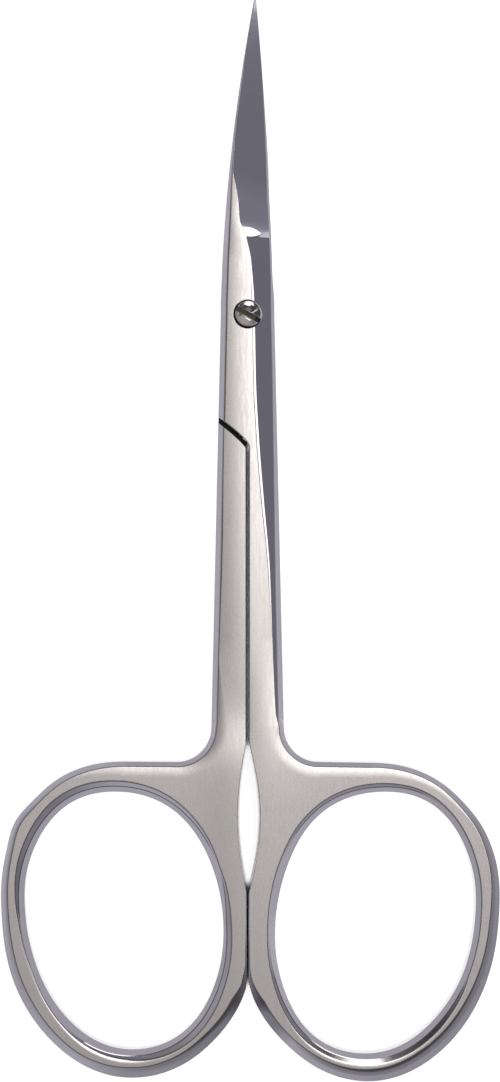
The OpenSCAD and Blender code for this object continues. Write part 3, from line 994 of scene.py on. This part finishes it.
def steel(name, colour, roughness, streak, depth, variation=0.03, scratch=None):
    """Worked steel: fine streaks, faint patches in its tone, and roughness that varies with the
    streaks.
    """
    material = bpy.data.materials.new(name)
    material.use_nodes = True
    tree = material.node_tree
    place = node(tree, "TexCoord").outputs["Object"]
    streaks = noise(tree, place, streak, STREAK_DETAIL)
    patches = noise(tree, place, PATCHES, PATCH_DETAIL)
    weak = node(tree, "Math", {0: spread(tree, streaks, 0, 1), 1: 0.5}, operation="MULTIPLY")
    both = node(tree, "Math", {0: spread(tree, patches, 0, 1), 1: 0.5, 2: weak.outputs[0]},
                operation="MULTIPLY_ADD")
    deep, pale = ([min(c * k, 1) for c in colour] for k in (1 - variation, 1 + variation))
    tone = node(tree, "Mix", {"A": (*deep, 1), "B": (*pale, 1), "Factor": both.outputs[0]},
                data_type="RGBA")
    normal = bump(tree, streaks, depth)
    if scratch:
        scratches = noise(tree, place, scratch, SCRATCH_DETAIL)
        normal = bump(tree, scratches, depth * SCRATCH_SHARE, normal)
    shader = tree.nodes["Principled BSDF"]
    shader.inputs["Metallic"].default_value = 1.0
    rough = spread(tree, streaks, roughness * (1 - ROUGH_SPREAD), roughness * (1 + ROUGH_SPREAD))
    for socket, name in ((tone.outputs["Result"], "Base Color"), (rough, "Roughness"),
                         (normal, "Normal")):
        tree.links.new(socket, shader.inputs[name])
    return material


def half_materials():
    if "face_steel" not in bpy.data.materials:
        p = prop()
        steel("face_steel", p.satin_colour, p.satin_roughness, (5000, 600, 5000), 0.026)
        steel("bevel_steel", p.bevel_colour, p.bevel_roughness, (1500, 1500, 1500), 0.08)
        steel("ground_steel", p.ground_colour, p.ground_roughness, (700, 7000, 700), 0.22,
              scratch=(3000, 300, 3000))
        steel("mating_steel", p.mating_colour, p.ground_roughness, (600, 5000, 600), 0.4)
        # Near-black colour painted as shade in gaps, in the screw's seat and at the far end of its
        # slot
        steel("painted_shade_steel", p.painted_shade_colour, p.recess_roughness, (900, 900, 900), 0.3)
    return [bpy.data.materials[n] for n in
            ("face_steel", "bevel_steel", "ground_steel", "mating_steel", "painted_shade_steel")]


def face_lines(side):
    """Lines where the slopes of a half's outer face change, and the spine's bevel ends."""
    y = np.concatenate((np.linspace(RIDGE_Y[0], SLIVER_Y, RIDGE_ROWS),
                        np.linspace(SLIVER_Y, BLADE_LEN - TIP_SPARE, GRIND_ROWS)[1:]))
    ridge = np.column_stack((ridge_at(side, y), y))
    across = []
    for level in np.linspace(SLIVER_Y, GRIND_Y, PLUNGE_LINES):
        low, high = (float(edge(side, np.array(level))) for edge in (ridge_at, right_edge))
        x = np.linspace(low, high + EDGE_PAST, PLUNGE_ROWS)
        across.append(np.column_stack((x, np.full(PLUNGE_ROWS, level))))
    y = y[y < CREST_Y[-1]]
    crests = [np.column_stack((ridge_at(side, y) - crest_width(y) * share, y))
              for share in (1, 1 + LIP_SHARE)]
    x = float(ridge_at(side, SLIVER_Y)) + np.linspace(0, SLIVER_REACH, SLIVER_ROWS)
    low, high = sliver_edges(side, x)
    slivers = [np.column_stack((x, high + SLIVER_EDGES[1] * t)) for t in (-0.5, 0, 0.5)]
    slivers += [np.column_stack((x, low + SLIVER_EDGES[0] * t)) for t in (0, 0.5, 1)]
    y = np.linspace(ROOT_Y, BLADE_LEN - SPINE_STOP, SPINE_ROWS)
    level, shown = (np.column_stack((left_edge(side, y) + width, y))
                    for width in (bevel_level(y), spine_shown(y) + BEVEL_SPARE))
    return [ridge, lap_line(), *across, level], [*crests, *slivers, shown]


def make_half(side, name, body):
    outline, spine, outer, back, hole = half_lines(side)
    lap = lap_line()
    bore = PIN_R + PIN_CLEAR if side == RIGHT else THREAD_R + THREAD_CLEAR + BORE_SPARE
    seat = HEAD_R + HEAD_CLEAR
    turn = np.arange(0, 360, TURN_STEP)
    circles = [polar((0, 0), bore, turn)]
    if side == RIGHT:
        circles += [polar((0, 0), seat + w, turn) for w in (0, SEAT_RIM / 2, SEAT_RIM)]
    first, last = face_lines(side)
    contours = [*first, *spine.contours(), *outer.contours(), *back.contours(), *last]
    step = prop().grid_step / MM
    loose = grid_points(outline.min(0), outline.max(0), step)
    loose = loose[inside(outline, loose)]
    plan, tris = triangulate([outline, hole.points, *circles, *hole.contours()], contours,
                             loose, CLEAR * step)
    middle = plan[tris].mean(1)
    region = np.where(inside(outline, middle), HANDLE, OUTSIDE)
    near = middle[:, 1] < -LOOP_TOP
    region[near & inside(hole.points, middle)] = OUTSIDE
    order = np.argsort(lap[:, 0], kind="stable")

    def past_lap(x, y):
        return y - np.interp(x, lap[order, 0], lap[order, 1])

    region[(region == HANDLE) & (past_lap(*middle.T) > 0)] = BLADE
    radius = np.hypot(middle[:, 0], middle[:, 1])
    if side == RIGHT:
        region[radius < seat] = SEAT
    region[radius < bore * IN_CHORDS] = OUTSIDE

    def surface(r, top, q):
        x, y = q[:, 0], q[:, 1]
        # The floor of the seat under the screw's head is painted near-black as shade
        if r == SEAT and top:
            z = np.full(len(q), SEAT_Z)
            return np.column_stack((q, z)), upward(0 * z, 0 * z), np.full(len(q), PAINTED_SHADE)
        if r != HANDLE and not top:
            def height(a, b):
                return mating(side, a, b) + mating_bevel(side, a, b)

            z = height(x, y)
            sx, sy = gradient(height, q)
            kind = np.where(mating_bevel(side, x, y) > 0, POLISH, MATING)
            # Painted shade: a near-black colour on the mating face just past the shoulder's lap
            # line
            kind = np.where(past_lap(x, y) < PAINTED_SHADE_LEN, PAINTED_SHADE, kind)
            return np.column_stack((q, z)), upward(sx, sy, -1), kind
        height, sign = (outer_height, -1) if top else (inner_height, 1)
        z = height(side, x, y)
        if top and side == LEFT:
            # turned over, this face must not dip below the table
            z = np.minimum(z, JOINT_T)
        sx, sy = gradient(lambda a, b: height(side, a, b), q)
        wx, wy = gradient(lambda a, b: crown(a, b, CROWN_LOOPS) - crown(a, b), q)
        sx, sy = sx + sign * wx, sy + sign * (wy + sheen(side, x, y))
        d1, g1, on1 = spine.drop(q)
        d2, g2, on2 = (outer if top else back).drop(q)
        d3, g3, on3 = hole.drop(q)
        g = np.where((d1 > d2)[:, None], g1, g2) + g3
        drop = np.maximum(d1, d2) + d3
        on = np.where(d1 > d2, on1, on2) | on3
        kind = np.where(on, POLISH, SATIN)
        z = z + sign * drop
        if top and side == RIGHT:
            r = np.hypot(x, y)
            rim = 1 - ramp(r, seat, SEAT_RIM)
            z = z - SEAT_RIM_SLOPE * SEAT_RIM / 2 * rim ** 2
            g = g - (SEAT_RIM_SLOPE * rim / np.maximum(r, 0.1))[:, None] * q
        if top:
            z = np.maximum(z, np.where(y > LAP_TOP, mating(side, x, y) + LEAST_T, -1))
            ground = (x > ridge_at(side, y)) & (y > RIDGE_Y[0]) & ~on
            kind = np.where(ground, GROUND, kind)
            left_blank = ground & (sliver(side, x, y) > 0.5)
            sx, sy = (np.where(left_blank, level, v) for level, v in zip(SLIVER_POLISH, (sx, sy)))
            kind = np.where(left_blank, POLISH, kind)
            width = crest_width(y)
            on_crest = (x > ridge_at(side, y) - width) & (width > CREST_LEAST) & ~ground
            kind = np.where(on_crest & (y > RIDGE_Y[0]), POLISH, kind)
        normal = upward(sx + sign * g[:, 0], sy + sign * g[:, 1], -sign)
        return np.column_stack((q, z)), normal, kind

    def rows(point, bottom, top):
        if side == RIGHT or abs(math.hypot(*point) - bore) > AT_WALL:
            return None
        return thread_rows(*point, bottom[2] + BORE_END, top[2] - BORE_END, THREAD_CLEAR, True)

    shell = Shell()
    shell.build(plan, tris, region, surface, rows)
    obj = shell.object(name, side == LEFT, half_materials())
    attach(obj, body)
    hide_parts(name.replace("_steel", ""))
    return obj


def head_radius(x, y):
    """Distance from the middle of the screw's head, which sits a little to one side."""
    return np.hypot(x - HEAD_SHIFT[0], y - HEAD_SHIFT[1])


def make_screw():
    p = prop()
    rim_z = JOINT_T + RIM_H
    crown_z = rim_z + DOME_H
    floor_z = crown_z - SLOT_DEPTH
    turn = np.arange(0, 360, HEAD_STEP)
    a = math.radians(SLOT_ANGLE)
    along, across = np.array((math.cos(a), math.sin(a))), np.array((-math.sin(a), math.cos(a)))
    slot = SLOT_W / 2
    circles = [polar(HEAD_SHIFT, HEAD_R - w, turn) for w in ROUND_ROWS]
    circles.append(polar((0, 0), PIN_R, turn))
    reach = np.linspace(-HEAD_R - SLOT_PAST, HEAD_R + SLOT_PAST, SLOT_POINTS)[:, None]
    lines = [reach * along + s * across for w in SLOT_ROWS for s in (-slot - w, slot + w)]
    loose = grid_points((-HEAD_R, -HEAD_R), (HEAD_R, HEAD_R), HEAD_GRID)
    loose = loose[head_radius(*loose.T) < HEAD_R - HEAD_GRID_EDGE]
    plan, tris = triangulate(circles, lines, loose, HEAD_GRID_CLEAR)
    middle = plan[tris].mean(1)
    radius = np.hypot(middle[:, 0], middle[:, 1])
    in_slot = np.abs(middle @ across) < slot
    region = np.where(radius < PIN_R * IN_CHORDS, np.where(in_slot, PIN_SLOT, PIN),
                      np.where(in_slot, SLOT, RIM))
    region[head_radius(*middle.T) > HEAD_R * IN_CHORDS] = OUTSIDE

    def dome(x, y):
        r = head_radius(x, y)
        cone = HEAD_SLOPE * (np.sqrt(r ** 2 + HEAD_BLUNT ** 2) - HEAD_BLUNT)
        z = crown_z - cone - HEAD_TILT[0] * x - HEAD_TILT[1] * y
        for at_x, at_y, size, depth in HEAD_DENTS:
            z = z - depth * np.exp(-((x - at_x) ** 2 + (y - at_y) ** 2) / size ** 2)
        run = np.subtract(SCRATCH_TO, SCRATCH_FROM)
        from_x, from_y = x - SCRATCH_FROM[0], y - SCRATCH_FROM[1]
        t = clamp01((from_x * run[0] + from_y * run[1]) / (run @ run))
        off = np.hypot(from_x - t * run[0], from_y - t * run[1])
        z = z - SCRATCH_DEPTH * t * np.exp(-(off / SCRATCH_WIDTH) ** 2)
        u = np.minimum(ramp(r, HEAD_R - ROUND_R, ROUND_R), ROUND_MOST)
        z = z - ROUND_DROP * (1 - np.sqrt(1 - u ** 2))
        v = 1 - ramp(np.abs(x * across[0] + y * across[1]), slot, SLOT_ROUND)
        return z - SLOT_DROP * v * v

    def surface(r, top, q):
        x, y = q[:, 0], q[:, 1]
        kind = np.full(len(q), METAL)
        flat = np.zeros(len(q))
        if top:
            # Painted shade: the slot's floor takes a dark brown colour, and its far end the
            # near-black one
            if r in (SLOT, PIN_SLOT):
                kind = np.where(q @ along > SLOT_SHADE_START, DARK, SLOT_SHADE)
                return np.column_stack((q, flat + floor_z)), upward(flat, flat), kind
            return np.column_stack((q, dome(x, y))), upward(*gradient(dome, q)), kind
        if r in (RIM, SLOT):
            return np.column_stack((q, flat + SEAT_Z + HEAD_GAP)), upward(flat, flat, -1), kind
        return np.column_stack((q * PIN_END_R / PIN_R, flat)), upward(flat, flat, -1), kind

    def rows(point, bottom, top):
        if abs(math.hypot(*point) - PIN_R) > AT_WALL or bottom[2] > LAP_Z:
            return None
        neck = [(point[0] * r / PIN_R, point[1] * r / PIN_R, z) for r, z in NECK]
        return thread_rows(*point, THREAD_START, LAP_Z - THREAD_STOP, 0) + neck

    shell = Shell()
    shell.wall_kind = METAL
    shell.build(plan, tris, region, surface, rows)
    metal = steel("screw_steel", p.screw_colour, p.screw_roughness, (900, 900, 900), 0.08)
    # Dark brown colour painted as shade on the floor of the slot
    slot_shade = steel("slot_painted_shade", p.slot_shade_colour, p.recess_roughness, (2500, 2500, 2500), 0.5,
                 variation=0.4)
    # The slot's far end takes the near-black painted shade
    dark = bpy.data.materials["painted_shade_steel"]
    obj = shell.object("pivot_screw_steel", False, [metal, slot_shade, dark])
    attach(obj, "back")
    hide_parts("pivot_screw")
    return obj


# Floor, light and camera

FLOOR_SIZE, FLOOR_Z = 3.0, -5e-5
# The floor goes dark in narrow gaps, as shade painted into its glow and its colour by ambient
# occlusion: distance over which gaps count, and from which openness to which the glow and the
# colour rise
GAP_REACH = 0.0005
GLOW_OPEN, COLOUR_OPEN = (0.5, 0.6), (0.4, 0.6)
GAP_SHADE_COLOUR, FLOOR_COLOUR = 0.1, 0.8


def make_floor():
    mesh = bpy.data.meshes.new("floor")
    corners = ((-1, -1), (1, -1), (1, 1), (-1, 1))
    mesh.from_pydata([(x * FLOOR_SIZE, y * FLOOR_SIZE, FLOOR_Z) for x, y in corners], [],
                     [(0, 1, 2, 3)])
    floor = bpy.data.objects.new("floor", mesh)
    bpy.context.scene.collection.objects.link(floor)
    material = bpy.data.materials.new("pale_floor")
    material.use_nodes = True
    tree = material.node_tree
    tree.nodes.clear()
    # Painted shade: ambient occlusion darkens the floor's glow and colour in narrow gaps, such as
    # between the shanks
    openness = node(tree, "AmbientOcclusion", {"Distance": GAP_REACH}, samples=8).outputs["AO"]
    glow = spread(tree, openness, 0.0, prop().floor_glow, *GLOW_OPEN)
    grey = spread(tree, openness, GAP_SHADE_COLOUR, FLOOR_COLOUR, *COLOUR_OPEN)
    diffuse = node(tree, "BsdfDiffuse", {"Color": grey}).outputs[0]
    emission = node(tree, "Emission", {"Strength": glow}).outputs[0]
    path = node(tree, "LightPath").outputs
    seen = path["Is Camera Ray"]
    for ray in ("Is Glossy Ray", "Is Transmission Ray"):
        seen = node(tree, "Math", {0: seen, 1: path[ray]}, operation="MAXIMUM").outputs[0]
    total = node(tree, "AddShader", {0: diffuse, 1: emission}).outputs[0]
    shown = node(tree, "MixShader", {0: seen, 1: diffuse, 2: total}).outputs[0]
    node(tree, "OutputMaterial", {"Surface": shown})
    mesh.materials.append(material)


# Brightness and colour of the room around the object, by the sine of the height above
# the horizon: pale low down, dark high up, grey overhead
ROOM = ((0.0, (0.62, 0.605, 0.68)), (0.14, (0.58, 0.565, 0.64)), (0.31, (0.43, 0.42, 0.475)),
        (0.41, (0.33, 0.32, 0.36)), (0.52, (0.27, 0.262, 0.295)), (0.62, (0.31, 0.303, 0.352)),
        (0.74, (0.11, 0.106, 0.12)), (0.84, (0.05, 0.048, 0.05)), (0.92, (0.2, 0.192, 0.19)),
        (0.965, (0.52, 0.505, 0.495)), (1.0, (0.64, 0.62, 0.605)))


def make_room():
    world = bpy.data.worlds.new("studio")
    bpy.context.scene.world = world
    world.use_nodes = True
    tree = world.node_tree
    tree.nodes.clear()
    direction = node(tree, "TexCoord").outputs["Generated"]
    height = node(tree, "SeparateXYZ", {0: direction}).outputs["Z"]
    ramp_node = node(tree, "ValToRGB", {0: height})
    stops = ramp_node.color_ramp.elements
    for k, (at, colour) in enumerate(ROOM):
        stop = stops[k] if k < 2 else stops.new(at)
        stop.position = at
        stop.color = (*colour, 1)
    room = node(tree, "Background", {"Color": ramp_node.outputs["Color"],
                                     "Strength": prop().room_light}).outputs[0]
    white = node(tree, "Background", {"Color": (1, 1, 1, 1), "Strength": 1.0}).outputs[0]
    camera_ray = node(tree, "LightPath").outputs["Is Camera Ray"]
    shown = node(tree, "MixShader", {0: camera_ray, 1: room, 2: white}).outputs[0]
    node(tree, "OutputWorld", {"Surface": shown})


BOX_COLOUR = (1.0, 0.98, 0.96)


def make_light():
    """Overhead softbox, whose reflection in a mirror has the brightness of its level."""
    p = prop()
    data = bpy.data.lights.new("softbox", "AREA")
    data.shape = "RECTANGLE"
    data.size, data.size_y = p.box_width, p.box_length
    data.energy = p.box_level * math.pi * p.box_width * p.box_length
    data.color = BOX_COLOUR
    light = bpy.data.objects.new("softbox", data)
    light.location = (p.box_x, p.box_y, p.box_height)
    light.rotation_euler.z = p.box_turn
    bpy.context.scene.collection.objects.link(light)


# The photograph is 100 mm high where the object's front face lies. Half the lens's picture is
# 18 mm high, so the camera stands at 50 mm times its length over 18 mm above that face.
CAMERA_LENS, PHOTO_HIGH = 100.0, 0.1
CAMERA_X, CAMERA_Y, FACE_Z = 0.00022, -0.02095, 0.0033


def make_camera():
    camera_data = bpy.data.cameras.new("camera")
    camera_data.lens, camera_data.sensor_width = CAMERA_LENS, 36.0
    camera_data.clip_start, camera_data.clip_end = 0.01, 20
    camera = bpy.data.objects.new("camera", camera_data)
    camera.location = (CAMERA_X, CAMERA_Y, FACE_Z + PHOTO_HIGH / 2 * CAMERA_LENS / 18)
    bpy.context.scene.collection.objects.link(camera)
    bpy.context.scene.camera = camera


class ScissorsProperties(PropertyGroup):
    """Sizes of the mesh, finishes and lights that a user would change."""
    crown_amount: FloatProperty(
        name="Crown", description="How strongly the satin faces are rounded, as slope per mm",
        default=0.056, min=0, max=0.1)
    crown_reach: FloatProperty(
        name="Crown reach", description="Distance from the middle at which the crown fades",
        default=0.0036, unit="LENGTH")
    strip_slope: FloatProperty(
        name="Bevel slope", description="Slope of the polished strip around each half",
        default=0.88, min=0.3, max=1.2)
    edge_slope: FloatProperty(
        name="Edge rounding", description="Slope of the faces beside their bevels",
        default=0.12, min=0, max=0.3)
    fine_step: FloatProperty(
        name="Outline step", description="Distance between points of the outline",
        default=0.00028, unit="LENGTH")
    grid_step: FloatProperty(
        name="Face step", description="Distance between points on the faces",
        default=0.00042, unit="LENGTH")
    satin_colour: FloatVectorProperty(
        name="Satin steel", description="Colour of the satin faces",
        subtype="COLOR", default=(0.63, 0.607, 0.6), min=0, max=1)
    satin_roughness: FloatProperty(
        name="Satin roughness", description="Roughness of the satin faces",
        subtype="FACTOR", default=0.28, min=0, max=1)
    bevel_colour: FloatVectorProperty(
        name="Bevel steel", description="Colour of the bevels",
        subtype="COLOR", default=(0.6, 0.59, 0.6), min=0, max=1)
    bevel_roughness: FloatProperty(
        name="Bevel roughness", description="Roughness of the bevels",
        subtype="FACTOR", default=0.14, min=0, max=1)
    ground_colour: FloatVectorProperty(
        name="Ground steel", description="Colour of the ground blade bevels",
        subtype="COLOR", default=(0.45, 0.446, 0.49), min=0, max=1)
    ground_roughness: FloatProperty(
        name="Ground roughness", description="Roughness of the ground blade bevels",
        subtype="FACTOR", default=0.2, min=0, max=1)
    mating_colour: FloatVectorProperty(
        name="Mating steel", description="Colour of the faces that slide on each other",
        subtype="COLOR", default=(0.45, 0.44, 0.44), min=0, max=1)
    # Near-black colour painted as shade in gaps and seats
    painted_shade_colour: FloatVectorProperty(
        name="Painted shade", description="Near-black colour painted as shade on the steel down in gaps and seats",
        subtype="COLOR", default=(0.03, 0.029, 0.028), min=0, max=1)
    recess_roughness: FloatProperty(
        name="Recess roughness", description="Roughness of the steel down in gaps and seats",
        subtype="FACTOR", default=0.5, min=0, max=1)
    # Dark colour painted as shade in the screw's slot
    slot_shade_colour: FloatVectorProperty(
        name="Slot shade", description="Dark colour painted as shade on the floor of the screw's slot",
        subtype="COLOR", default=(0.085, 0.078, 0.058), min=0, max=1)
    screw_colour: FloatVectorProperty(
        name="Screw steel", description="Colour of the pivot screw",
        subtype="COLOR", default=(0.56, 0.55, 0.55), min=0, max=1)
    screw_roughness: FloatProperty(
        name="Screw roughness", description="Roughness of the pivot screw",
        subtype="FACTOR", default=0.09, min=0, max=1)
    floor_glow: FloatProperty(
        name="Floor brightness", description="Brightness added to the floor as the camera sees it",
        default=0.8, min=0, max=1)
    room_light: FloatProperty(
        name="Room light", description="Strength of the room around the object", default=1.0)
    box_level: FloatProperty(
        name="Softbox level", description="Brightness of the softbox", default=1.95)
    box_width: FloatProperty(
        name="Softbox width", description="Width of the softbox", default=0.345, unit="LENGTH")
    box_length: FloatProperty(
        name="Softbox length", description="Length of the softbox", default=0.335, unit="LENGTH")
    box_x: FloatProperty(
        name="Softbox right", description="Place of the softbox to the right", default=0.1275,
        unit="LENGTH")
    box_y: FloatProperty(
        name="Softbox forward", description="Place of the softbox along the blades",
        default=0.1225, unit="LENGTH")
    box_height: FloatProperty(
        name="Softbox height", description="Height of the softbox", default=0.6, unit="LENGTH")
    box_turn: FloatProperty(
        name="Softbox turn", description="How far the softbox is turned, seen from above",
        default=math.radians(-11), subtype="ANGLE")


class SCISSORS_OT_front_half(Operator):
    """Build the front half: right loop and shank, and the blade in front"""
    bl_idname = "scissors.front_half"
    bl_label = "Front half"

    def execute(self, context):
        make_half(RIGHT, "front_half_steel", "front")
        return {"FINISHED"}


class SCISSORS_OT_back_half(Operator):
    """Build the back half: left loop and shank, and the blade behind"""
    bl_idname = "scissors.back_half"
    bl_label = "Back half"

    def execute(self, context):
        make_half(LEFT, "back_half_steel", "back")
        return {"FINISHED"}


class SCISSORS_OT_pivot_screw(Operator):
    """Build the slotted pivot screw with its pin and thread"""
    bl_idname = "scissors.pivot_screw"
    bl_label = "Pivot screw"

    def execute(self, context):
        make_screw()
        return {"FINISHED"}


class SCISSORS_OT_stage(Operator):
    """Set up the pale floor, the studio light and the camera"""
    bl_idname = "scissors.stage"
    bl_label = "Stage"

    def execute(self, context):
        make_floor()
        make_room()
        make_light()
        make_camera()
        context.scene.view_settings.view_transform = "Standard"
        return {"FINISHED"}


class SCISSORS_PT_parts(Panel):
    """Builders and settings of the scissors"""
    bl_label = "Cuticle scissors"
    bl_space_type = "VIEW_3D"
    bl_region_type = "UI"
    bl_category = "Scissors"

    def draw(self, context):
        column = self.layout.column(align=True)
        for name in ("front_half", "back_half", "pivot_screw", "stage"):
            column.operator(f"scissors.{name}")
        for name in ScissorsProperties.__annotations__:
            self.layout.prop(context.scene.scissors, name)


CLASSES = (ScissorsProperties, SCISSORS_OT_front_half, SCISSORS_OT_back_half,
           SCISSORS_OT_pivot_screw, SCISSORS_OT_stage, SCISSORS_PT_parts)


def register():
    for cls in CLASSES:
        bpy.utils.register_class(cls)
    bpy.types.Scene.scissors = PointerProperty(type=ScissorsProperties)


def unregister():
    del bpy.types.Scene.scissors
    for cls in reversed(CLASSES):
        bpy.utils.unregister_class(cls)


def main():
    register()
    bpy.ops.scissors.front_half()
    bpy.ops.scissors.back_half()
    bpy.ops.scissors.pivot_screw()
    bpy.ops.scissors.stage()


if __name__ == "__main__":
    main()
